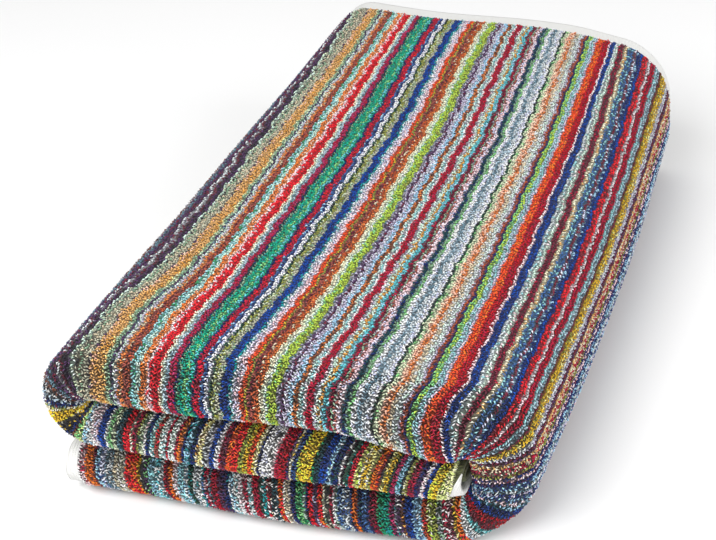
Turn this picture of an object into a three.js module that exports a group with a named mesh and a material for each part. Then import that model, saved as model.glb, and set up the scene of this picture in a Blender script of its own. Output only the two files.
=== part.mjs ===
// A terry towel for the sauna, folded in four along its length and then in three across its width.
// Millimetres, +Z up. The packet lies on z = 0, its round front noses towards -Y and its hems at +Y.
// The cloth is one sheet. A point of it is found in two moves: first where it lies in the stack
// of plies, which is the lengthwise fold, and then where that stack lies in the crosswise fold.
import * as THREE from 'three';

// Thickness of the cloth: loops on both faces, and the flat-woven hems and selvedges
const PILE_CLOTH = 4.8;
const FLAT_CLOTH = 2.6;
const HEM_DEPTH = 10;
const SELVEDGE_DEPTH = 6.5;
const PILE_START = 3;
const EDGE_RISE = 22;

// The folded packet
const PACKET_WIDTH = 248;
const PACKET_LENGTH = 439;
const PACKET_HEIGHT = 89;
const PANELS = 3;
const PLIES = 4;
const STACK = PACKET_HEIGHT / PANELS;
const PLY = (STACK - PILE_CLOTH) / (PLIES - 1) - 0.7;

// Half the distance between the midlines of the outer two plies
const STACK_REACH = PLY * (PLIES - 1) / 2;
const HALF_STACK = STACK_REACH + PILE_CLOTH / 2;

// Heights of the middle of each stack above the table
const BOTTOM_Z = HALF_STACK;
const TOP_Z = PACKET_HEIGHT - HALF_STACK;
const MIDDLE_Z = (BOTTOM_Z + TOP_Z) / 2;

// The right fold goes round the free end of the middle panel, and the left fold turns back at once
const RIGHT_PRESS = 0.8;
const RIGHT_CORNER = 22;
const LEFT_PRESS = 0.88;
const LEFT_RADIUS = (TOP_Z - MIDDLE_Z) / 2;
const FREE_END_PRESS = 0.84;
const RIGHT_X = PACKET_WIDTH / 2 - STACK_REACH * RIGHT_PRESS - PILE_CLOTH / 2 - RIGHT_CORNER;
const LEFT_X = -PACKET_WIDTH / 2 + STACK_REACH * LEFT_PRESS + PILE_CLOTH / 2 + LEFT_RADIUS;
const BOTTOM_EDGE_X = -PACKET_WIDTH / 2 + 6.5;
const MIDDLE_EDGE_X = PACKET_WIDTH / 2 - 27;
const QUARTER = Math.PI / 2;

// The crosswise fold as a walk along the middle of the stack, from selvedge to selvedge.
// length and turn: how far, and how far round to the left; cells: steps of the mesh;
// press: how tight the plies lie at the end of the row; swell: how much its outer ply waves;
// setBack: how far the nose of the stack lies behind the top one.
const CROSS_FOLD = [
  { name: 'bottom selvedge', length: SELVEDGE_DEPTH, turn: 0, cells: 1, press: 0.9, swell: 0, setBack: 5.2 },
  { name: 'bottom pile', length: PILE_START, turn: 0, cells: 1, press: 0.93, swell: 0, setBack: 5.2 },
  { name: 'bottom rise', length: EDGE_RISE, turn: 0, cells: 1, press: 1, swell: 0, setBack: 5.2 },
  { name: 'bottom panel', length: RIGHT_X - BOTTOM_EDGE_X - SELVEDGE_DEPTH - PILE_START - EDGE_RISE,
    turn: 0, cells: 6, press: 1, swell: 0, setBack: 5.2 },
  { name: 'right fold, below', length: RIGHT_CORNER * QUARTER, turn: QUARTER, cells: 5,
    press: RIGHT_PRESS, swell: 0.6, setBack: 4.5 },
  { name: 'right fold, side', length: TOP_Z - BOTTOM_Z - 2 * RIGHT_CORNER, turn: 0, cells: 1,
    press: RIGHT_PRESS, swell: 1, setBack: 3.5 },
  { name: 'right fold, above', length: RIGHT_CORNER * QUARTER, turn: QUARTER, cells: 5,
    press: 0.97, swell: 1, setBack: 1 },
  { name: 'top panel', length: RIGHT_X - LEFT_X, turn: 0, cells: 8, press: 1, swell: 1, setBack: 0 },
  { name: 'left fold', length: LEFT_RADIUS * 2 * QUARTER, turn: 2 * QUARTER, cells: 8,
    press: LEFT_PRESS, swell: 0.3, setBack: 0 },
  { name: 'middle panel', length: MIDDLE_EDGE_X - LEFT_X - SELVEDGE_DEPTH - PILE_START - EDGE_RISE,
    turn: 0, cells: 6, press: 1, swell: 0, setBack: 0 },
  { name: 'middle fall', length: EDGE_RISE, turn: 0, cells: 1, press: 0.88, swell: 0, setBack: 0 },
  { name: 'middle pile', length: PILE_START, turn: 0, cells: 1, press: 0.86, swell: 0, setBack: 0 },
  { name: 'middle selvedge', length: SELVEDGE_DEPTH, turn: 0, cells: 1, press: FREE_END_PRESS,
    swell: 0, setBack: 0 },
];

// The lengthwise fold as the same kind of walk, in the plane of length and ply.
// It starts at the inner hem and ends at the hem on top.
const NOSE_Y = -PACKET_LENGTH / 2 + PILE_CLOTH / 2 + STACK_REACH;
const BACK_Y = PACKET_LENGTH / 2 - PILE_CLOTH / 2 - PLY / 2 - 3;
const INNER_HEM_Y = PACKET_LENGTH / 2 - 5;
const OUTER_HEM_Y = PACKET_LENGTH / 2;
const LONG_FOLD = [
  { name: 'inner hem', length: HEM_DEPTH, turn: 0, cells: 1 },
  { name: 'inner hem to pile', length: PILE_START, turn: 0, cells: 1 },
  { name: 'first ply', length: INNER_HEM_Y - NOSE_Y - HEM_DEPTH - PILE_START, turn: 0, cells: 3 },
  { name: 'inner nose', length: PLY / 2 * 2 * QUARTER, turn: 2 * QUARTER, cells: 6 },
  { name: 'second ply', length: BACK_Y - NOSE_Y, turn: 0, cells: 3 },
  { name: 'back turn', length: PLY / 2 * 2 * QUARTER, turn: -2 * QUARTER, cells: 6 },
  { name: 'third ply', length: BACK_Y - NOSE_Y, turn: 0, cells: 3 },
  { name: 'outer nose', length: STACK_REACH * 2 * QUARTER, turn: -2 * QUARTER, cells: 10 },
  { name: 'fourth ply', length: OUTER_HEM_Y - NOSE_Y - HEM_DEPTH - PILE_START, turn: 0, cells: 9 },
  { name: 'outer pile to hem', length: PILE_START, turn: 0, cells: 1 },
  { name: 'outer hem', length: HEM_DEPTH, turn: 0, cells: 1 },
];

// Soft unevenness: the outer ply's waves, and the wander of the noses and the hems
const SWELL = 0.06;
const SWELL_LENGTH = 170;
const SWELL_WIDTH = 120;
const WANDER = 1.6;
const WANDER_LENGTH = 162;
const WANDER_START = -6;

// How far the packet has settled out of square, each over its own share of the width
const RIGHT_BELLY = 6.4;
const RIGHT_BELLY_FROM = 60;
const LEFT_HOLLOW = 2.4;
const LEFT_TAPER = 9.2;
const LEFT_FROM = 20;
const BACK_SKEW = 13.7;
const RIGHT_NOSE_ROUND = 24.5;
const RIGHT_NOSE_FROM = 80;
const RIGHT_BACK_ROUND = 14;
const RIGHT_BACK_FROM = 50;

// A soft step from 0 to 1
function ease(value) {
  const share = Math.min(Math.max(value, 0), 1);
  return share * share * (3 - 2 * share);
}

// A walk of rows becomes stations: where each is, which way it heads, and what its row says
function walkStations(rows, start, heading) {
  let x = start.x;
  let y = start.y;
  let angle = heading;
  let along = 0;
  const first = rows[0];
  const stations = [
    { x, y, angle, along, press: first.press, swell: first.swell, setBack: first.setBack },
  ];
  let before = first;
  for (const row of rows) {
    const step = row.length / row.cells;
    const bend = row.turn / row.cells;
    const chord = bend === 0 ? step : step * Math.sin(bend / 2) / (bend / 2);
    for (let cell = 1; cell <= row.cells; cell += 1) {
      x += chord * Math.cos(angle + bend / 2);
      y += chord * Math.sin(angle + bend / 2);
      angle += bend;
      along += step;
      const share = ease(cell / row.cells);
      const mix = (key) => before[key] + (row[key] - before[key]) * share;
      stations.push({
        x, y, angle, along, press: mix('press'), swell: mix('swell'), setBack: mix('setBack'),
      });
    }
    before = row;
  }
  return stations;
}

// The unit vector to the right of the way a station heads
function rightOf(station) {
  return { x: Math.sin(station.angle), y: -Math.cos(station.angle) };
}

// Thinner where the cloth is flat woven, at the hems and the selvedges
function clothThickness(across, along, cutWidth, cutLength) {
  const fromSide = Math.min(across, cutWidth - across);
  const fromEnd = Math.min(along, cutLength - along);
  const flat = fromSide <= SELVEDGE_DEPTH + 0.01 || fromEnd <= HEM_DEPTH + 0.01;
  return flat ? FLAT_CLOTH : PILE_CLOTH;
}

// The packet's soft departure from a true block: its belly, hollow, taper, skew and rounded corners.
// right and left grow softly from a distance off the middle to that edge of the packet.
function settled(x, y, z) {
  const half = PACKET_WIDTH / 2;
  const right = (from) => ease((x - from) / (half - from));
  const left = (from) => ease((-x - from) / (half - from));
  const back = Math.min(Math.max(y / PACKET_LENGTH + 0.5, 0), 1);
  const front = 1 - back;
  const middle = Math.sin(Math.PI * back);
  const height = z / PACKET_HEIGHT;
  const rightBelly = RIGHT_BELLY * right(RIGHT_BELLY_FROM) * (1 - 0.6 * height) * middle;
  const leftShift = (LEFT_TAPER * back ** 1.5 + LEFT_HOLLOW * middle) * left(LEFT_FROM);
  const rightNose = RIGHT_NOSE_ROUND * right(RIGHT_NOSE_FROM) * (1 - 0.5 * height) * front ** 3;
  const rightBack = RIGHT_BACK_ROUND * right(RIGHT_BACK_FROM) * back ** 4;
  const skew = BACK_SKEW * x / half * back;
  return new THREE.Vector3(x + rightBelly + leftShift, y + rightNose - rightBack - skew, z);
}

// One point of a face of the cloth; side is -1 for the face that shows and 1 for the other
function clothPoint(cross, long, side, thickness) {
  const outward = rightOf(cross);
  const faceNormal = rightOf(long);
  const lift = side * thickness / 2;
  const wave = Math.sin(long.x / SWELL_LENGTH * 2 * Math.PI + cross.along / SWELL_WIDTH * 2 * Math.PI);
  const swell = long.y > 0 ? 1 + SWELL * cross.swell * (wave - 1) / 2 : 1;
  const ply = long.y * cross.press * swell + lift * faceNormal.y;
  const setBack = cross.setBack * (0.5 - long.x / PACKET_LENGTH);
  const wander = WANDER * Math.sin((cross.along - WANDER_START) / WANDER_LENGTH * 2 * Math.PI);
  return settled(
    cross.x + outward.x * ply,
    long.x + lift * faceNormal.x + setBack + wander,
    cross.y + outward.y * ply,
  );
}

// The two faces of the sheet on one grid, joined round the rim
function foldedSheet() {
  const crossStations = walkStations(CROSS_FOLD, { x: BOTTOM_EDGE_X, y: BOTTOM_Z }, 0);
  const longStations = walkStations(LONG_FOLD, { x: INNER_HEM_Y, y: PLY / 2 }, Math.PI);
  const cutWidth = crossStations[crossStations.length - 1].along;
  const cutLength = longStations[longStations.length - 1].along;
  const columns = crossStations.length;
  const rows = longStations.length;
  const positions = [];
  for (const side of [1, -1]) {
    for (const long of longStations) {
      for (const cross of crossStations) {
        const thickness = clothThickness(cross.along, long.along, cutWidth, cutLength);
        positions.push(...clothPoint(cross, long, side, thickness).toArray());
      }
    }
  }
  const at = (layer, row, column) => (layer * rows + row) * columns + column;
  const triangles = [];
  const quad = (a, b, c, d) => triangles.push(a, b, c, a, c, d);
  for (let row = 0; row < rows - 1; row += 1) {
    for (let column = 0; column < columns - 1; column += 1) {
      quad(at(0, row, column), at(0, row, column + 1), at(0, row + 1, column + 1), at(0, row + 1, column));
      quad(at(1, row, column), at(1, row + 1, column), at(1, row + 1, column + 1), at(1, row, column + 1));
    }
  }
  for (let column = 0; column < columns - 1; column += 1) {
    const last = rows - 1;
    quad(at(0, 0, column), at(1, 0, column), at(1, 0, column + 1), at(0, 0, column + 1));
    quad(at(0, last, column), at(0, last, column + 1), at(1, last, column + 1), at(1, last, column));
  }
  for (let row = 0; row < rows - 1; row += 1) {
    const last = columns - 1;
    quad(at(0, row, 0), at(0, row + 1, 0), at(1, row + 1, 0), at(1, row, 0));
    quad(at(0, row, last), at(1, row, last), at(1, row + 1, last), at(0, row + 1, last));
  }
  const geometry = new THREE.BufferGeometry();
  geometry.setAttribute('position', new THREE.Float32BufferAttribute(positions, 3));
  geometry.setIndex(triangles);
  return geometry;
}

// Striped terry reads as a muted mix from afar
function towelMaterial() {
  return new THREE.MeshStandardMaterial({ color: 0x8c7a80, roughness: 0.95, metalness: 0 });
}

function buildTowel() {
  const geometry = foldedSheet();
  geometry.computeBoundingBox();
  const middle = geometry.boundingBox.getCenter(new THREE.Vector3());
  geometry.translate(-middle.x, -middle.y, 0);
  const towel = new THREE.Mesh(geometry, towelMaterial());
  towel.name = 'towel';
  return towel;
}

const model = new THREE.Group();
model.name = 'folded_towel';
model.add(buildTowel());

export default model;
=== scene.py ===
"""A striped terry sauna towel, folded in four along its length and in three across its width.

The cloth is one sheet, folded by the same two walks as the CAD part, and its pile is loops of
yarn that stand on it. Sizes in the tables are millimetres of the cut cloth: across counts from
the selvedge of the bottom panel, along counts from the inner hem.
"""

import math

import bmesh
import bpy
import numpy as np
from mathutils import Matrix, Vector


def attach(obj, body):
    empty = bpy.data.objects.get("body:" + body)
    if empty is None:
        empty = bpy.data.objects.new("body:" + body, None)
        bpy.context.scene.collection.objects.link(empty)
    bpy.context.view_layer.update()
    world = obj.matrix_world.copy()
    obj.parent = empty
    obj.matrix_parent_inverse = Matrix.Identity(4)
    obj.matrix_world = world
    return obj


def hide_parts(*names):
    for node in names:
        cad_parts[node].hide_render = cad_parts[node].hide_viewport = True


bl_info = {
    "name": "Folded sauna towel",
    "version": (1, 0, 0),
    "blender": (4, 5, 0),
    "location": "View3D > Sidebar > Towel",
    "description": "Builds the looks of a folded striped terry towel on its CAD frame",
    "category": "Object",
}

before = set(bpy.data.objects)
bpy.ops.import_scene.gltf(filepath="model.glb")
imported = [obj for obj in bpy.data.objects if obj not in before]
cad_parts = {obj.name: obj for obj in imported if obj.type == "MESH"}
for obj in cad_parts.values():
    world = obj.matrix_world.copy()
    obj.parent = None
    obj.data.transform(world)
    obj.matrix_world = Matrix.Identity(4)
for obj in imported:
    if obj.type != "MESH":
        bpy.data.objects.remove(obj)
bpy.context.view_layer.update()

MM = 0.001
QUARTER = math.pi / 2

# Thickness of the cloth. The hidden face and the hems lie as in the CAD part, and the face that
# shows is the woven ground, over which the loops stand.
PILE_CLOTH = 4.8
GROUND_FACE = 1.5
FLAT_FACE = 1.3

# The edges of the cut: flat-woven bands, the start of the pile, and the rise to a full panel
HEM_DEPTH = 10
SELVEDGE_DEPTH = 6.5
PILE_START = 3
EDGE_RISE = 22

# How much of the free selvedge the pile leaves bare
FREE_EDGE_SHOWS = 3.5

# The folded packet
PACKET_WIDTH = 248
PACKET_LENGTH = 439
PACKET_HEIGHT = 89
PANELS = 3
PLIES = 4
PLY_SLACK = 0.7
STACK = PACKET_HEIGHT / PANELS
PLY = (STACK - PILE_CLOTH) / (PLIES - 1) - PLY_SLACK
STACK_REACH = PLY * (PLIES - 1) / 2
HALF_STACK = STACK_REACH + PILE_CLOTH / 2
BOTTOM_Z = HALF_STACK
TOP_Z = PACKET_HEIGHT - HALF_STACK
MIDDLE_Z = (BOTTOM_Z + TOP_Z) / 2
RIGHT_PRESS = 0.8
RIGHT_CORNER = 22
LEFT_PRESS = 0.88
LEFT_RADIUS = (TOP_Z - MIDDLE_Z) / 2
FREE_END_PRESS = 0.84
RIGHT_X = PACKET_WIDTH / 2 - STACK_REACH * RIGHT_PRESS - PILE_CLOTH / 2 - RIGHT_CORNER
LEFT_X = -PACKET_WIDTH / 2 + STACK_REACH * LEFT_PRESS + PILE_CLOTH / 2 + LEFT_RADIUS
NOSE_Y = -PACKET_LENGTH / 2 + PILE_CLOTH / 2 + STACK_REACH

# Edges and turns that stop short of the packet's sides
BOTTOM_EDGE_INSET = 6.5
MIDDLE_EDGE_INSET = 27
BACK_TURN_INSET = 3
INNER_HEM_INSET = 5
BOTTOM_EDGE_X = -PACKET_WIDTH / 2 + BOTTOM_EDGE_INSET
MIDDLE_EDGE_X = PACKET_WIDTH / 2 - MIDDLE_EDGE_INSET
BACK_Y = PACKET_LENGTH / 2 - PILE_CLOTH / 2 - PLY / 2 - BACK_TURN_INSET
INNER_HEM_Y = PACKET_LENGTH / 2 - INNER_HEM_INSET
OUTER_HEM_Y = PACKET_LENGTH / 2

# The centre of the packet's box before it is moved over the origin
CENTRE = (2.3017, 6.7285)

# The crosswise fold: row, length, turn, cells, press, swell, set back of the nose
CROSS_FOLD = (
    ("bottom selvedge", SELVEDGE_DEPTH, 0, 3, 0.9, 0, 5.2),
    ("bottom pile", PILE_START, 0, 2, 0.93, 0, 5.2),
    ("bottom rise", EDGE_RISE, 0, 5, 1, 0, 5.2),
    ("bottom panel", RIGHT_X - BOTTOM_EDGE_X - SELVEDGE_DEPTH - PILE_START - EDGE_RISE,
     0, 14, 1, 0, 5.2),
    ("right fold, below", RIGHT_CORNER * QUARTER, QUARTER, 12, RIGHT_PRESS, 0.6, 4.5),
    ("right fold, side", TOP_Z - BOTTOM_Z - 2 * RIGHT_CORNER, 0, 5, RIGHT_PRESS, 1, 3.5),
    ("right fold, above", RIGHT_CORNER * QUARTER, QUARTER, 12, 0.97, 1, 1),
    ("top panel", RIGHT_X - LEFT_X, 0, 46, 1, 1, 0),
    ("left fold", LEFT_RADIUS * 2 * QUARTER, 2 * QUARTER, 20, LEFT_PRESS, 0.3, 0),
    ("middle panel", MIDDLE_EDGE_X - LEFT_X - SELVEDGE_DEPTH - PILE_START - EDGE_RISE,
     0, 14, 1, 0, 0),
    ("middle fall", EDGE_RISE, 0, 5, 0.88, 0, 0),
    ("middle pile", PILE_START, 0, 2, 0.86, 0, 0),
    ("middle selvedge", SELVEDGE_DEPTH, 0, 3, FREE_END_PRESS, 0, 0),
)

# The lengthwise fold: row, length, turn, cells
LONG_FOLD = (
    ("inner hem", HEM_DEPTH, 0, 5),
    ("inner hem to pile", PILE_START, 0, 1),
    ("first ply", INNER_HEM_Y - NOSE_Y - HEM_DEPTH - PILE_START, 0, 8),
    ("inner nose", PLY * QUARTER, 2 * QUARTER, 8),
    ("second ply", BACK_Y - NOSE_Y, 0, 8),
    ("back turn", PLY * QUARTER, -2 * QUARTER, 12),
    ("third ply", BACK_Y - NOSE_Y, 0, 8),
    ("outer nose", STACK_REACH * 2 * QUARTER, -2 * QUARTER, 20),
    ("fourth ply", OUTER_HEM_Y - NOSE_Y - HEM_DEPTH - PILE_START, 0, 56),
    ("outer pile to hem", PILE_START, 0, 2),
    ("outer hem", HEM_DEPTH, 0, 8),
)

# Soft unevenness of the packet, as in the CAD part: an undulating swell of the outer plies, and
# a wander of the noses
SWELL = 0.06
SWELL_LENGTH = 170
SWELL_WIDTH = 120
WANDER = 1.6
WANDER_LENGTH = 162
WANDER_START = -6

# Departures from a true block: how far, and from where across the packet they grow
RIGHT_BELLY = 6.4
RIGHT_BELLY_FROM = 60
BELLY_LOST_AT_TOP = 0.6
LEFT_HOLLOW = 2.4
LEFT_TAPER = 9.2
LEFT_TAPER_POWER = 1.5
LEFT_FROM = 20
BACK_SKEW = 13.7
RIGHT_NOSE_ROUND = 24.5
RIGHT_NOSE_FROM = 80
RIGHT_NOSE_POWER = 3
NOSE_LOST_AT_TOP = 0.5
RIGHT_BACK_ROUND = 14
RIGHT_BACK_FROM = 50
RIGHT_BACK_POWER = 4

# How the inner plies give way in the right fold and are pressed at the free end: place across,
# share of their distance
INNER_PLIES = (
    (195, 1), (212, 1.4), (240, 1.6), (262, 1.65), (285, 1.7), (300, 1.8), (315, 1.6), (350, 1),
    (640, 1), (690, 0.7), (712, 0.62),
)

# How far the free end of the middle panel is tucked in, and over which places across
END_TUCK = 3
END_TUCK_FROM = 690
END_TUCK_TO = 715

# How far the hidden face of the cloth lies from its middle: place across, millimetres
HIDDEN_FACE = ((670, 2.4), (700, 1.8))

# Yarn colours
YARNS = {
    "white": "f4f4f2", "cream": "ebe4c6", "beige": "cdbfa4", "stone": "b0b09c",
    "light_grey": "ccd2d4", "grey": "8e8c96", "black": "26262e", "lavender": "cfd2ee",
    "lilac": "b9b2c8", "blue_grey": "abbecb", "slate": "5f7c8a", "light_blue": "9cc6e0",
    "denim": "3f6398", "royal": "17469c", "navy": "1b2c66", "plum": "50355a",
    "aqua": "92c8cc", "turquoise": "62bcc6", "teal": "1f8f94", "dark_teal": "1d4650",
    "emerald": "17a07f", "green": "2f8f5c", "grass": "7fc07c", "dark_green": "1f4a38",
    "mint": "c8e2d2", "sage": "86a68a", "pale_sage": "c6d2b2", "lime": "aec84c",
    "pale_lime": "d0dc90", "olive": "8e9246", "mustard": "d0aa2e", "yellow": "e8d040",
    "pale_yellow": "e6dd92", "ochre": "cf9444", "tan": "d2a468", "copper": "cf7a42",
    "peach": "f2bca4", "orange": "ee7a2c", "vermilion": "e5502a", "red": "dc2430",
    "deep_red": "b01424", "crimson": "a81c3c", "magenta": "a5305f", "maroon": "6c2438",
    "brick": "9a5348", "rust": "b0502c", "brown": "6e4232", "pink": "f0ccd2",
}
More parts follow.
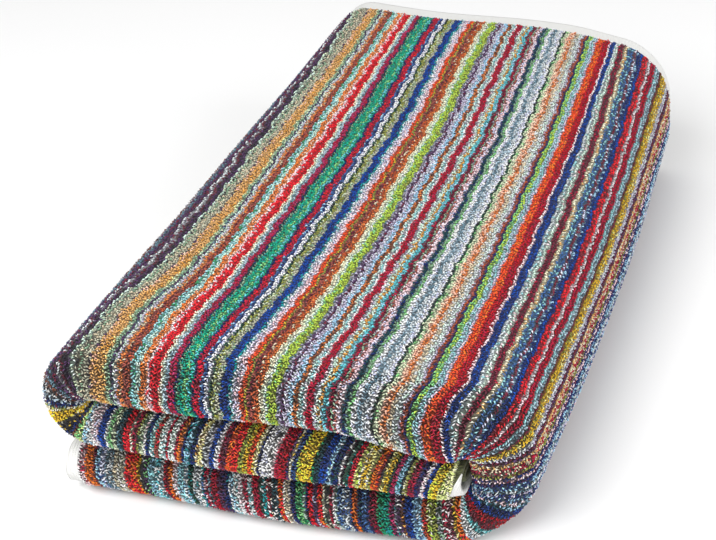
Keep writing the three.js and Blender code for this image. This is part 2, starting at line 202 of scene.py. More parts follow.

# The stripes across the cut from STRIPES_START on: yarn, second yarn, its share, width. They are
# charted and are uneven, as mixed yarns on a beam are.
STRIPES_START = 4.5
STRIPES = (
    ("pink", "white", 0.3, 3.5), ("pink", "crimson", 0.45, 3), ("orange", "rust", 0.35, 4),
    ("maroon", "brown", 0.3, 1.5), ("light_blue", "navy", 0.4, 2.5), ("lavender", "denim", 0.4, 3),
    ("slate", "white", 0.35, 2.5), ("light_grey", "slate", 0.4, 2), ("beige", "stone", 0.4, 3),
    ("stone", "white", 0.35, 3), ("white", "pink", 0.3, 1), ("red", "orange", 0.25, 4),
    ("orange", "red", 0.2, 2.5), ("mustard", "orange", 0.35, 2), ("black", "white", 0.4, 2),
    ("plum", "grass", 0.25, 2.5), ("aqua", "light_blue", 0.4, 3.5), ("turquoise", "white", 0.3, 3),
    ("light_grey", "slate", 0.35, 2), ("deep_red", "maroon", 0.2, 3), ("orange", "rust", 0.4, 2),
    ("ochre", "cream", 0.3, 1), ("pink", "white", 0.45, 2.5), ("aqua", "light_blue", 0.4, 3),
    ("light_blue", "white", 0.25, 2.5), ("dark_green", "teal", 0.25, 3),
    ("light_grey", "slate", 0.4, 2.5), ("white", "teal", 0.4, 2), ("teal", "denim", 0.4, 2),
    ("crimson", "pink", 0.15, 1.5), ("slate", "black", 0.35, 2), ("crimson", "deep_red", 0.35, 4),
    ("plum", "maroon", 0.3, 2), ("plum", "navy", 0.4, 2), ("navy", "teal", 0.3, 1.5),
    ("light_blue", "white", 0.35, 3), ("white", "aqua", 0.4, 2.5), ("pink", "light_grey", 0.4, 2),
    ("crimson", "pink", 0.35, 2.5), ("aqua", "white", 0.45, 3), ("crimson", "deep_red", 0.3, 3),
    ("dark_green", "white", 0.3, 2), ("teal", "white", 0.4, 2), ("deep_red", "white", 0.35, 1.5),
    ("maroon", "cream", 0.3, 1.5), ("dark_teal", "white", 0.25, 3), ("orange", "red", 0.3, 2.5),
    ("cream", "white", 0.3, 2), ("white", "beige", 0.35, 2), ("navy", "plum", 0.2, 2.5),
    ("green", "grass", 0.25, 3.5), ("mint", "green", 0.35, 2), ("navy", "black", 0.2, 1.5),
    ("red", "deep_red", 0.2, 2.5), ("plum", "lavender", 0.35, 2), ("red", "orange", 0.15, 2.5),
    ("cream", "sage", 0.35, 1.5), ("stone", "black", 0.35, 2), ("crimson", "pink", 0.3, 1.5),
    ("white", "pink", 0.4, 1), ("mint", "dark_green", 0.35, 1.5), ("denim", "blue_grey", 0.35, 2),
    ("blue_grey", "navy", 0.35, 2), ("light_grey", "denim", 0.4, 2.5), ("navy", "denim", 0.3, 1),
    ("rust", "orange", 0.4, 3), ("navy", "dark_teal", 0.35, 2), ("denim", "light_blue", 0.3, 2),
    ("navy", "white", 0.2, 2), ("maroon", "crimson", 0.3, 4), ("green", "emerald", 0.35, 2.5),
    ("emerald", "teal", 0.45, 3.5), ("magenta", "plum", 0.4, 2.5), ("grey", "teal", 0.35, 1.5),
    ("plum", "white", 0.25, 1.5), ("brown", "ochre", 0.4, 2), ("royal", "navy", 0.15, 4),
    ("light_blue", "denim", 0.25, 2.5), ("light_blue", "white", 0.45, 2),
    ("rust", "deep_red", 0.35, 3), ("lime", "cream", 0.35, 2), ("olive", "lime", 0.35, 2),
    ("sage", "grey", 0.4, 3), ("crimson", "white", 0.3, 2.5), ("maroon", "pink", 0.35, 2.5),
    ("mustard", "pale_yellow", 0.35, 1.5), ("orange", "red", 0.35, 2),
    ("white", "blue_grey", 0.4, 3.5), ("aqua", "teal", 0.4, 3), ("deep_red", "maroon", 0.4, 7),
    ("navy", "royal", 0.3, 5), ("dark_teal", "light_blue", 0.35, 3), ("slate", "pink", 0.4, 2.5),
    ("light_blue", "navy", 0.4, 3), ("navy", "lilac", 0.4, 2.5), ("slate", "light_grey", 0.4, 2.5),
    ("light_blue", "navy", 0.4, 3), ("plum", "navy", 0.35, 2.5), ("pink", "maroon", 0.4, 2),
    ("navy", "pink", 0.35, 2), ("olive", "brown", 0.45, 2), ("cream", "maroon", 0.45, 2),
    ("crimson", "beige", 0.45, 3), ("tan", "cream", 0.4, 3), ("maroon", "plum", 0.35, 2.5),
    ("lilac", "light_grey", 0.45, 3), ("mustard", "pale_yellow", 0.35, 1.5),
    ("mustard", "olive", 0.4, 1.5), ("brown", "maroon", 0.3, 1), ("blue_grey", "slate", 0.3, 1.5),
    ("blue_grey", "aqua", 0.4, 1.5), ("crimson", "deep_red", 0.45, 2.5),
    ("pink", "light_grey", 0.45, 1.5), ("red", "maroon", 0.35, 2), ("royal", "navy", 0.4, 2),
    ("light_blue", "navy", 0.35, 1), ("maroon", "lavender", 0.25, 1), ("denim", "aqua", 0.4, 2),
    ("cream", "tan", 0.3, 2), ("maroon", "crimson", 0.3, 2), ("mint", "pink", 0.35, 1.5),
    ("light_grey", "aqua", 0.4, 1.5), ("royal", "navy", 0.3, 2.5), ("pink", "white", 0.4, 0.5),
    ("deep_red", "crimson", 0.2, 4.5), ("vermilion", "orange", 0.35, 3.5),
    ("lilac", "pink", 0.4, 1), ("blue_grey", "aqua", 0.4, 2.5), ("grass", "lime", 0.35, 2.5),
    ("navy", "plum", 0.4, 1), ("brick", "rust", 0.4, 2), ("lilac", "brick", 0.3, 1),
    ("light_grey", "mint", 0.4, 2.5), ("beige", "light_grey", 0.4, 2), ("peach", "pink", 0.3, 1),
    ("copper", "peach", 0.25, 2), ("peach", "cream", 0.35, 1.5), ("pale_sage", "cream", 0.3, 1.5),
    ("pale_sage", "grass", 0.35, 1), ("black", "dark_green", 0.4, 1.5),
    ("white", "lavender", 0.45, 2), ("blue_grey", "light_grey", 0.35, 2),
    ("blue_grey", "slate", 0.25, 2.5), ("grey", "light_grey", 0.3, 1),
    ("white", "lavender", 0.35, 2), ("grass", "sage", 0.45, 1.5), ("sage", "slate", 0.4, 1),
    ("dark_teal", "navy", 0.35, 2), ("pink", "lavender", 0.45, 2.5), ("brick", "pink", 0.35, 1.5),
    ("grey", "sage", 0.35, 1), ("maroon", "crimson", 0.3, 2.5),
    ("turquoise", "light_blue", 0.35, 2.5), ("aqua", "mint", 0.4, 1), ("ochre", "mint", 0.35, 2),
    ("mint", "lilac", 0.4, 1.5), ("grey", "pink", 0.4, 1), ("crimson", "deep_red", 0.3, 3.5),
    ("white", "pink", 0.45, 1.5), ("aqua", "grey", 0.4, 1.5), ("light_grey", "mint", 0.4, 1.5),
    ("copper", "brown", 0.4, 1.5), ("black", "brown", 0.4, 1), ("light_blue", "lavender", 0.45, 2),
    ("lilac", "light_grey", 0.4, 2), ("plum", "maroon", 0.45, 1.5), ("lilac", "plum", 0.35, 1.5),
    ("grey", "slate", 0.35, 1.5), ("lime", "olive", 0.3, 2.5), ("lime", "grass", 0.35, 2),
    ("mint", "white", 0.35, 2), ("cream", "pale_sage", 0.35, 2), ("copper", "rust", 0.4, 2),
    ("rust", "beige", 0.25, 1.5), ("brick", "maroon", 0.45, 2.5), ("olive", "mustard", 0.4, 2),
    ("vermilion", "rust", 0.25, 2.5), ("pink", "lavender", 0.35, 1.5),
    ("lilac", "white", 0.4, 1.5), ("aqua", "light_grey", 0.35, 1.5), ("teal", "denim", 0.35, 1),
    ("royal", "navy", 0.25, 4.5), ("stone", "sage", 0.35, 2), ("pale_sage", "olive", 0.35, 2),
    ("dark_green", "black", 0.4, 1.5), ("lavender", "white", 0.4, 2.5),
    ("navy", "denim", 0.3, 1.5), ("denim", "light_blue", 0.25, 1.5), ("crimson", "red", 0.25, 3.5),
    ("navy", "plum", 0.35, 1.5), ("emerald", "turquoise", 0.3, 2.5),
    ("grass", "emerald", 0.35, 2.5), ("emerald", "teal", 0.4, 2), ("sage", "green", 0.4, 1),
    ("dark_teal", "navy", 0.4, 2), ("magenta", "crimson", 0.35, 2),
    ("crimson", "magenta", 0.35, 2), ("blue_grey", "slate", 0.3, 1.5), ("mint", "white", 0.4, 1.5),
    ("cream", "peach", 0.35, 1), ("peach", "copper", 0.45, 1), ("red", "deep_red", 0.12, 3.5),
    ("red", "pink", 0.12, 2), ("pink", "white", 0.35, 2), ("copper", "peach", 0.2, 2),
    ("orange", "copper", 0.45, 1.5), ("mint", "aqua", 0.4, 2), ("aqua", "green", 0.35, 2.5),
    ("brick", "rust", 0.4, 2.5), ("brick", "maroon", 0.4, 2), ("copper", "beige", 0.4, 1.5),
    ("beige", "lilac", 0.45, 1.5), ("light_grey", "mint", 0.3, 1.5), ("slate", "plum", 0.35, 1.5),
    ("sage", "pale_sage", 0.4, 2), ("tan", "pale_yellow", 0.3, 2), ("tan", "ochre", 0.35, 3),
    ("tan", "peach", 0.35, 2.5), ("plum", "stone", 0.35, 1.5), ("stone", "beige", 0.4, 2),
    ("beige", "sage", 0.4, 1.5), ("stone", "black", 0.3, 1.5), ("mint", "pale_sage", 0.3, 1.5),
    ("plum", "black", 0.35, 2), ("maroon", "grey", 0.35, 1.5), ("light_grey", "plum", 0.4, 1.5),
    ("plum", "maroon", 0.4, 2.5), ("slate", "plum", 0.4, 2.5), ("grey", "brown", 0.4, 2.5),
    ("black", "white", 0.35, 2.5), ("blue_grey", "black", 0.35, 2), ("navy", "white", 0.3, 2.5),
    ("maroon", "slate", 0.4, 2), ("olive", "cream", 0.35, 2), ("mustard", "yellow", 0.35, 6),
    ("cream", "black", 0.4, 2), ("black", "mustard", 0.35, 3), ("navy", "black", 0.4, 2.5),
    ("brown", "black", 0.4, 1.5), ("pale_lime", "grass", 0.4, 3.5),
    ("light_blue", "white", 0.4, 3.5), ("white", "pink", 0.4, 3), ("pink", "lavender", 0.4, 2.5),
    ("royal", "navy", 0.25, 4), ("white", "lavender", 0.35, 1.5), ("grass", "sage", 0.4, 2),
    ("pale_sage", "black", 0.3, 2), ("dark_teal", "slate", 0.35, 2.5),
    ("black", "dark_teal", 0.4, 2), ("red", "deep_red", 0.25, 3), ("cream", "black", 0.4, 2),
    ("maroon", "crimson", 0.4, 2.5), ("olive", "black", 0.35, 1.5),
    ("pale_sage", "dark_green", 0.35, 1.5), ("white", "pink", 0.35, 1.5),
    ("navy", "dark_teal", 0.45, 2.5), ("aqua", "white", 0.35, 1.5), ("mint", "teal", 0.35, 1.5),
    ("brick", "red", 0.4, 2), ("mint", "white", 0.4, 2), ("white", "aqua", 0.35, 1.5),
    ("crimson", "red", 0.35, 2), ("mint", "light_grey", 0.35, 1.5), ("white", "mint", 0.4, 1.5),
    ("crimson", "maroon", 0.3, 1.5), ("orange", "ochre", 0.4, 1.5), ("copper", "brown", 0.4, 1.5),
    ("navy", "black", 0.4, 1.5), ("light_blue", "teal", 0.4, 1.5),
    ("dark_teal", "light_blue", 0.3, 1.5), ("navy", "dark_teal", 0.35, 3),
    ("ochre", "cream", 0.35, 1.5), ("pale_yellow", "beige", 0.4, 1.5),
    ("light_grey", "black", 0.3, 2.5), ("grey", "white", 0.4, 2), ("royal", "navy", 0.4, 2.5),
    ("light_grey", "lavender", 0.4, 1), ("pink", "white", 0.4, 1.5),
    ("crimson", "maroon", 0.4, 1.5), ("maroon", "plum", 0.4, 1.5),
    ("vermilion", "orange", 0.25, 3), ("red", "vermilion", 0.4, 4), ("olive", "lime", 0.4, 2),
    ("mustard", "lime", 0.35, 2.5), ("vermilion", "orange", 0.35, 2.5),
    ("pale_yellow", "mustard", 0.3, 1.5), ("pale_yellow", "cream", 0.4, 1.5),
    ("navy", "black", 0.35, 1.5), ("white", "lavender", 0.35, 3), ("white", "black", 0.3, 3),
    ("pink", "white", 0.45, 1.5), ("crimson", "deep_red", 0.3, 2.5),
    ("deep_red", "crimson", 0.3, 3), ("plum", "navy", 0.4, 1), ("cream", "mustard", 0.35, 2),
    ("navy", "denim", 0.35, 2.5), ("mustard", "lime", 0.35, 2.5), ("yellow", "mustard", 0.35, 2.5),
    ("mustard", "yellow", 0.35, 2), ("dark_green", "green", 0.25, 2),
    ("dark_teal", "black", 0.35, 2), ("royal", "navy", 0.4, 3.5),
    ("light_blue", "royal", 0.3, 1.5), ("light_blue", "white", 0.3, 1),
    ("navy", "dark_teal", 0.3, 3.5), ("white", "maroon", 0.35, 1.5), ("black", "maroon", 0.4, 1.5),
    ("mint", "dark_green", 0.35, 1.5), ("dark_green", "teal", 0.3, 1),
    ("crimson", "red", 0.35, 2.5), ("pale_yellow", "lime", 0.3, 2), ("cream", "mustard", 0.35, 2),
    ("mustard", "pale_yellow", 0.35, 2), ("pale_yellow", "light_grey", 0.3, 1.5),
    ("olive", "brown", 0.45, 1.5), ("orange", "vermilion", 0.35, 2),
    ("vermilion", "maroon", 0.3, 1.5), ("black", "brown", 0.35, 1.5),
    ("pale_yellow", "olive", 0.3, 1.5), ("mustard", "olive", 0.4, 1.5),
    ("black", "dark_green", 0.35, 1.5), ("magenta", "crimson", 0.45, 2.5),
    ("turquoise", "light_blue", 0.35, 2.5), ("dark_teal", "black", 0.4, 1.5),
    ("olive", "cream", 0.3, 2), ("black", "olive", 0.35, 1), ("maroon", "crimson", 0.35, 2),
    ("crimson", "magenta", 0.3, 1.5), ("plum", "navy", 0.45, 4), ("pink", "white", 0.4, 2),
    ("royal", "navy", 0.4, 3), ("yellow", "lime", 0.4, 2), ("mustard", "yellow", 0.4, 2),
    ("pale_lime", "lime", 0.25, 2), ("pale_lime", "cream", 0.35, 3.5),
)

# How far the columns of loops drift sideways on top of the packet, at places across and along
DRIFT_ACROSS = (240, 270, 300, 320, 340, 380, 410, 430, 450, 470, 490, 525)
DRIFT_ALONG = (
    (1298, (0, -2, 3, 5, 5.5, 3.5, 2.5, 0, -1.5, 0, 4, 2)),
    (1322, (0, -1, -1.5, 2, 4, 5, 6.5, 3.5, 2, 4, 3.5, 1)),
    (1346, (0, -0.5, -1.5, 1.5, 3, 3, 6, 5, 4, 6.5, 2.5, 0)),
    (1370, (0, -0.5, -1.5, 1, 1.5, 1, 2, 2.5, 0.5, 3, 1, 0)),
    (1394, (0, -0.5, -1.5, -0.5, 1.5, 0.5, 1, 1, -2, -3, -2, 0)),
    (1430, (0, -1, -1.5, -1, -0.5, 0, 1, 0.5, -2, -3.5, -1, 0)),
    (1466, (0, -1, -1, -1, 0, -0.5, 0, 0, -1, -2.5, -1.5, 0)),
    (1514, (0, 0, 0, 0, 0, 0, 0, 0, 0, 0, 0, 0)),
    (1562, (0, 0.5, 0.5, 0.5, 0, 0, 0.5, 2, 0.5, 0.5, 0.5, 0)),
    (1598, (0, 1, 1.5, 2, 2, 1.5, 2, 2.5, 2, 1.5, 2, 0)),
    (1634, (0, 2, 3, 3.5, 4, 4.5, 3.5, 5, 3.5, 2.5, 3, 0)),
    (1670, (0, 3, 4, 6, 6, 5.5, 6, 7, 4.5, 4, 4, 0)),
    (1718, (0, 3.5, 6.5, 8.5, 8.5, 6.5, 7.5, 8.5, 6.5, 6.5, 6, 0)),
)

# How the columns slant over the nose: place across, millimetres sideways for one along
NOSE_SLANT = ((0, 0.12), (208, 0.16), (230, 0), (500, 0), (535, -0.18), (620, -0.22), (722, -0.33))
SLANT_REACH = 12

# Small waves of the columns: reach, length along, length across, start in turns
COLUMN_WAVES = (
    (0.5, 41, 230, 0.1),
    (0.45, 19, 120, 0.45),
    (0.4, 11, 47, 0.8),
    (0.3, 6.5, 31, 0.3),
)

# How much of the waves shows: place across, share
WAVE_SHARES = ((0, 0), (30, 0.5), (290, 0.4), (330, 1), (500, 1), (540, 0.4), (722, 0))

# Where each row of the two folds begins on the cut
ACROSS = {}
ALONG = {}
for rows, marks in ((CROSS_FOLD, ACROSS), (LONG_FOLD, ALONG)):
    reached = 0.0
    for row in rows:
        marks[row[0]] = reached
        reached += row[1]
    marks["end"] = reached

# How far the sections of loops reach past the folds that they cover, and into the packet's mouth.
# The columns' slant turns about a line that lies a little way round the outer nose.
NOSE_LAP = 4
HEM_LAP = 1
TURN_LAP = 3
MOUTH_DEPTH = 30
POCKET_BELOW = 20
POCKET_ABOVE = 10
NOSE_MIDDLE_AFTER = 13
PILE_FROM = ACROSS["bottom pile"]
PILE_TO = ACROSS["end"] - FREE_EDGE_SHOWS
NOSE_FROM = ALONG["outer nose"] - NOSE_LAP
NOSE_TO = ALONG["fourth ply"] + NOSE_LAP
NOSE_MIDDLE = ALONG["outer nose"] + NOSE_MIDDLE_AFTER
PILE_END = ALONG["outer pile to hem"] + HEM_LAP
TOP_MIDDLE = (ACROSS["top panel"] + ACROSS["left fold"]) / 2

# The sections of the cut that carry loops: piece, across from and to, along from and to
PILE_SECTIONS = (
    ("nose_loops_right", PILE_FROM, TOP_MIDDLE, NOSE_FROM, NOSE_TO),
    ("nose_loops_left", TOP_MIDDLE, PILE_TO, NOSE_FROM, NOSE_TO),
    ("right_fold_loops", ACROSS["right fold, below"] - NOSE_LAP, ACROSS["top panel"],
     NOSE_TO, PILE_END),
    ("top_right_loops", ACROSS["top panel"], TOP_MIDDLE, NOSE_TO, PILE_END),
    ("top_left_loops", TOP_MIDDLE, ACROSS["left fold"], NOSE_TO, PILE_END),
    ("left_fold_loops", ACROSS["left fold"], ACROSS["middle panel"] + TURN_LAP, NOSE_TO, PILE_END),
    ("free_end_loops", ACROSS["middle fall"], PILE_TO, NOSE_FROM - MOUTH_DEPTH, NOSE_FROM),
    ("pocket_loops", ACROSS["right fold, below"] - POCKET_BELOW,
     ACROSS["top panel"] + POCKET_ABOVE, NOSE_FROM - MOUTH_DEPTH, NOSE_FROM),
    ("back_turn_loops", PILE_FROM, PILE_TO,
     ALONG["back turn"] - TURN_LAP, ALONG["third ply"] + TURN_LAP),
)

# Seeds of the random draws: which columns take the second yarn, and the loops' unevenness
COLUMN_SEED = 7
LOOP_SEED = 20

# How freely whole columns swap to the second yarn, and how many loops do by themselves
SWAP_SHARE = 0.5
FLECK_SHARE = 0.3

# Steps of neighbouring columns along the cloth, in rows
COLUMN_STEPS = np.array((0, 0.1, 0.5, 0.6, 0.2, 0.15, 0.75, 0.7))

# A loop's crown over the middle of the cloth, its feet below that, and the painted light of both:
# a painted highlight that brightens the crown and painted shade that darkens the feet
CROWN_RISE = 2.25
FOOT_DROP = 0.8
CROWN_PAINTED_HIGHLIGHT = 1.3
FOOT_PAINTED_SHADE = 0.6

# Unevenness of the loops: spreads in millimetres, then the share that lean the other way, the
# spread of the lean, and the least and most of length and width
SPREAD_ALONG = 0.28
SPREAD_ACROSS = 0.15
SPREAD_CROWN = 0.15
SPREAD_TILT = 0.35
FLIP_SHARE = 0.15
SPREAD_LEAN = 0.3
LENGTH_RANGE = (0.8, 1.15)
WIDTH_RANGE = (0.85, 1.15)

# Brightness of single loops, least and most: on the shaded noses, where the wider spread is partly
# random tone and partly painted shade and painted highlight, and elsewhere, where it is random
# tone
NOSE_TONE_AND_PAINTED_LIGHT = (0.45, 1.35)
TOP_BRIGHTNESS = (0.7, 1.15)

# Round the noses the loops' feet lie closer: longest such section, and share of the row pitch
NOSE_SPAN = 60
NOSE_PITCH = 0.84

# Step for reading a direction of the cloth
NEAR = 0.2

# Cotton: roughness, specular level, sheen and its roughness
COTTON = (
    ("Roughness", 0.92), ("Specular IOR Level", 0.2),
    ("Sheen Weight", 0.12), ("Sheen Roughness", 0.5),
)

# Most colours that one ramp of the stripe chart holds
RAMP_STOPS = 30

# The ground between the loops, darkened by painted shade that stands for the shadow between them:
# grain of its painted dark gaps for each metre, how much shorter they are along the cloth, how
# steep and how strong they are, and how much darker the painted shade gets on the noses
GROUND_GRAIN = 420
GROUND_STRETCH = (1, 2.4, 1)
GROUND_POWER = 2
GROUND_GAIN = 4
NOSE_PAINTED_SHADE = 0.7
NOSE_DARK_LAP = 8

# Weave of the hems and selvedges: pitch of the ribs and picks in metres, share of the picks,
# strength and depth of the relief
RIB_PITCH = 0.0014
PICK_PITCH = 0.0009
PICK_SHARE = 0.5
WEAVE_STRENGTH = 0.5
WEAVE_DEPTH = 0.0003

# Small unevenness of the yarn's colour: grain for each metre, least brightness, range
YARN_GRAIN = 900
YARN_LEAST = 0.75
YARN_RANGE = 0.5

# The layout for baking: both faces side by side, and the rims in bands above them
BAKE_EDGE = 0.01
BAKE_WIDTH = 0.48
BAKE_HEIGHT = 0.93
BAKE_HALF = 0.5
BAKE_RIMS = 0.95
BAKE_RIM_STEP = 0.015
BAKE_RIM_WIDTH = 0.01

# Slack, in millimetres, when a place is compared with the edge of a band
SMALL = 0.01


class TowelSheetSettings(bpy.types.PropertyGroup):
    """The folded sheet."""

    # Brightness left to the ground under its painted shade, the shadow between the loops
    ground_painted_shade: bpy.props.FloatProperty(
        name="Ground shade",
        description="How bright the woven ground is under the loops",
        default=0.38, min=0, max=1, subtype="FACTOR",
    )
    hem_colour: bpy.props.FloatVectorProperty(
        name="Hem colour",
        description="Colour of the flat-woven hems and selvedges",
        default=(0.72, 0.72, 0.7), min=0, max=1, size=3, subtype="COLOR",
    )


class TowelPileSettings(bpy.types.PropertyGroup):
    """The loops of the pile."""

    row_pitch: bpy.props.FloatProperty(
        name="Row pitch", description="Distance between rows of loops along the cloth",
        default=0.0017, unit="LENGTH", subtype="DISTANCE", precision=5,
    )
    column_pitch: bpy.props.FloatProperty(
        name="Column pitch", description="Distance between loops in a row",
        default=0.00125, unit="LENGTH", subtype="DISTANCE", precision=5,
    )
    loop_length: bpy.props.FloatProperty(
        name="Loop length", description="Length of the part of a loop that shows",
        default=0.0031, unit="LENGTH", subtype="DISTANCE", precision=5,
    )
    yarn_width: bpy.props.FloatProperty(
        name="Yarn width", description="Thickness of the yarn in a loop",
        default=0.00088, unit="LENGTH", subtype="DISTANCE", precision=5,
    )
    lean: bpy.props.FloatProperty(
        name="Lean", description="How far a loop turns from the warp, to either side in turn",
        default=math.radians(55), subtype="ANGLE",
    )


class TowelStageSettings(bpy.types.PropertyGroup):
    """Floor, light and camera."""

    floor_colour: bpy.props.FloatVectorProperty(
        name="Floor colour", description="Colour of the plain floor",
        default=(0.9, 0.9, 0.9), min=0, max=1, size=3, subtype="COLOR",
    )
    key_power: bpy.props.FloatProperty(
        name="Key light", description="Power of the large soft light above, in watts",
        default=11.3, min=0, subtype="POWER",
    )


def ease(value):
    """A soft step from 0 to 1."""
    share = np.clip(value, 0, 1)
    return share * share * (3 - 2 * share)


class FoldWalk:
    """A walk of straight and bent rows, read at any distance along it."""

    def __init__(self, rows, start, heading):
        x, y = start
        angle = heading
        along = 0.0
        before = rows[0][4:]
        begun = []
        for row in rows:
            length, turn, after = row[1], row[2], row[4:]
            begun.append((along, length, x, y, angle, turn) + tuple(before) + tuple(after))
            chord = length * np.sinc(turn / 2 / np.pi)
            x += chord * math.cos(angle + turn / 2)
            y += chord * math.sin(angle + turn / 2)
            angle += turn
            along += length
            before = after
        self.rows = np.array(begun, dtype=float)
        self.end = along
        self.extra = len(before)

    def at(self, along):
        """Place, angle and the row's other values, one line for each distance."""
        index = np.searchsorted(self.rows[:, 0], along, side="right") - 1
        row = self.rows[np.clip(index, 0, len(self.rows) - 1)]
        run = along - row[:, 0]
        turned = row[:, 5] * run / row[:, 1]
        chord = run * np.sinc(turned / 2 / np.pi)
        x = row[:, 2] + chord * np.cos(row[:, 4] + turned / 2)
        y = row[:, 3] + chord * np.sin(row[:, 4] + turned / 2)
        share = ease(run / row[:, 1])[:, None]
        before = row[:, 6:6 + self.extra]
        after = row[:, 6 + self.extra:]
        return x, y, row[:, 4] + turned, before + (after - before) * share


CROSS_WALK = FoldWalk(CROSS_FOLD, (BOTTOM_EDGE_X, BOTTOM_Z), 0)
LONG_WALK = FoldWalk(LONG_FOLD, (INNER_HEM_Y, PLY / 2), math.pi)
CUT_WIDTH = CROSS_WALK.end
CUT_LENGTH = LONG_WALK.end


def settled(x, y, z):
    """The packet's soft departure from a true block."""
    half = PACKET_WIDTH / 2
    back = np.clip(y / PACKET_LENGTH + 0.5, 0, 1)
    front = 1 - back
    middle = np.sin(np.pi * back)
    height = z / PACKET_HEIGHT

    def right(start):
        return ease((x - start) / (half - start))

    belly = RIGHT_BELLY * right(RIGHT_BELLY_FROM) * (1 - BELLY_LOST_AT_TOP * height) * middle
    left = ease((-x - LEFT_FROM) / (half - LEFT_FROM))
    left_shift = (LEFT_TAPER * back ** LEFT_TAPER_POWER + LEFT_HOLLOW * middle) * left
    nose_depth = RIGHT_NOSE_ROUND * (1 - NOSE_LOST_AT_TOP * height)
    nose = nose_depth * right(RIGHT_NOSE_FROM) * front ** RIGHT_NOSE_POWER
    round_back = RIGHT_BACK_ROUND * right(RIGHT_BACK_FROM) * back ** RIGHT_BACK_POWER
    skew = BACK_SKEW * x / half * back
    return x + belly + left_shift, y + nose - round_back - skew, z


def cloth_places(across, along, rise):
    """Places in metres of points of the cloth, rise millimetres out on the face that shows."""
    cross_x, cross_y, cross_angle, extra = CROSS_WALK.at(across)
    long_x, long_y, long_angle, _ = LONG_WALK.at(along)
    press, swell_share, set_back = extra.T
    wave = np.sin((long_x / SWELL_LENGTH + across / SWELL_WIDTH) * 2 * np.pi)
    swell = np.where(long_y > 0, 1 + SWELL * swell_share * (wave - 1) / 2, 1)
    inner = np.where(long_y < 0, np.interp(across, *zip(*INNER_PLIES)), 1)
    ply = long_y * press * swell * inner + rise * np.cos(long_angle)
    set_back = set_back * (0.5 - long_x / PACKET_LENGTH)
    wander = WANDER * np.sin((across - WANDER_START) / WANDER_LENGTH * 2 * np.pi)
    tuck = END_TUCK * ease((across - END_TUCK_FROM) / (END_TUCK_TO - END_TUCK_FROM))
    x, y, z = settled(
        cross_x + np.sin(cross_angle) * ply - tuck,
        long_x - rise * np.sin(long_angle) + set_back + wander,
        cross_y - np.cos(cross_angle) * ply,
    )
    return np.stack((x - CENTRE[0], y - CENTRE[1], z), axis=1) * MM


def column_drift(across, along):
    """How far a column of loops lies off its straight place, in millimetres."""
    marks = [row[0] for row in DRIFT_ALONG]
    rows = np.stack([np.interp(across, DRIFT_ACROSS, row[1]) for row in DRIFT_ALONG])
    place = np.interp(along, marks, np.arange(len(marks)))
    below = np.minimum(place.astype(int), len(marks) - 2)
    share = place - below
    points = np.arange(len(across))
    drift = rows[below, points] * (1 - share) + rows[below + 1, points] * share
    slant = np.interp(across, *zip(*NOSE_SLANT))
    drift += slant * np.clip(along - NOSE_MIDDLE, -SLANT_REACH, SLANT_REACH)
    edge = np.interp(across, *zip(*WAVE_SHARES))
    for reach, length, width, start in COLUMN_WAVES:
        drift += reach * edge * np.sin((along / length + across / width + start) * 2 * np.pi)
    return drift


def linear(text):
    """A colour as the renderer counts it, from its six usual digits."""
    shares = [int(text[i:i + 2], 16) / 255 for i in (0, 2, 4)]
    return [s / 12.92 if s <= 0.04045 else ((s + 0.055) / 1.055) ** 2.4 for s in shares]


def new_piece(name, mesh, material):
    """An object of the towel, at the origin, with its material, that rides on the body."""
    piece = bpy.data.objects.new(name, mesh)
    bpy.context.scene.collection.objects.link(piece)
    mesh.materials.append(material)
    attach(piece, "root")
    return piece


def stations(rows):
    """Distances along a fold at which the sheet has vertices."""
    marks = [0.0]
    for row in rows:
        start = marks[-1]
        marks += [start + row[1] * (cell + 1) / row[3] for cell in range(row[3])]
    return np.array(marks)


def cloth_material(title):
    """A matt cotton shader with a light sheen."""
    material = bpy.data.materials.new(title)
    material.use_nodes = True
    shader = material.node_tree.nodes["Principled BSDF"]
    for name, value in COTTON:
        shader.inputs[name].default_value = value
    return material, shader


def math_node(tree, operation, first, second=0):
    """A math node of one or two inputs, each a number or a socket."""
    node = tree.nodes.new("ShaderNodeMath")
    node.operation = operation
    for socket, value in zip(node.inputs, (first, second)):
        if isinstance(value, (int, float)):
            socket.default_value = value
        else:
            tree.links.new(value, socket)
    return node.outputs[0]


def mix_colour(tree, factor, first, second):
    """A colour mix node: the factor is a socket, and each colour a socket or three numbers."""
    node = tree.nodes.new("ShaderNodeMix")
    node.data_type = "RGBA"
    for index, value in ((0, factor), (6, first), (7, second)):
        socket = node.inputs[index]
        if isinstance(value, bpy.types.NodeSocket):
            tree.links.new(value, socket)
        else:
            socket.default_value = (*value, 1)
    return node.outputs[2]


def scaled_colour(tree, colour, scale):
    """A colour made brighter or darker by a factor."""
    node = tree.nodes.new("ShaderNodeVectorMath")
    node.operation = "SCALE"
    tree.links.new(colour, node.inputs[0])
    tree.links.new(scale, node.inputs["Scale"])
    return node.outputs[0]


def stripe_ramps(tree, across):
    """The stripe chart as a chain of colour ramps over the distance across, in metres."""
    colour = None
    start = STRIPES_START
    for first in range(0, len(STRIPES), RAMP_STOPS):
        part = STRIPES[first:first + RAMP_STOPS]
        width = sum(row[3] for row in part)
        spread = math_node(tree, "SUBTRACT", across, start * MM)
        share = math_node(tree, "DIVIDE", spread, width * MM)
        ramp = tree.nodes.new("ShaderNodeValToRGB")
        ramp.color_ramp.interpolation = "CONSTANT"
        tree.links.new(share, ramp.inputs[0])
        stops = ramp.color_ramp.elements
        reached = 0.0
        for index, (yarn, second, second_share, stripe) in enumerate(part):
            if index < 2:
                stop = stops[index]
                stop.position = reached / width
            else:
                stop = stops.new(reached / width)
            pair = zip(linear(YARNS[yarn]), linear(YARNS[second]))
            stop.color = [main + (other - main) * second_share / 2 for main, other in pair] + [1]
            reached += stripe
        if colour is None:
            colour = ramp.outputs[0]
        else:
            past = math_node(tree, "GREATER_THAN", across, start * MM)
            colour = mix_colour(tree, past, colour, ramp.outputs[0])
        start += width
    return colour


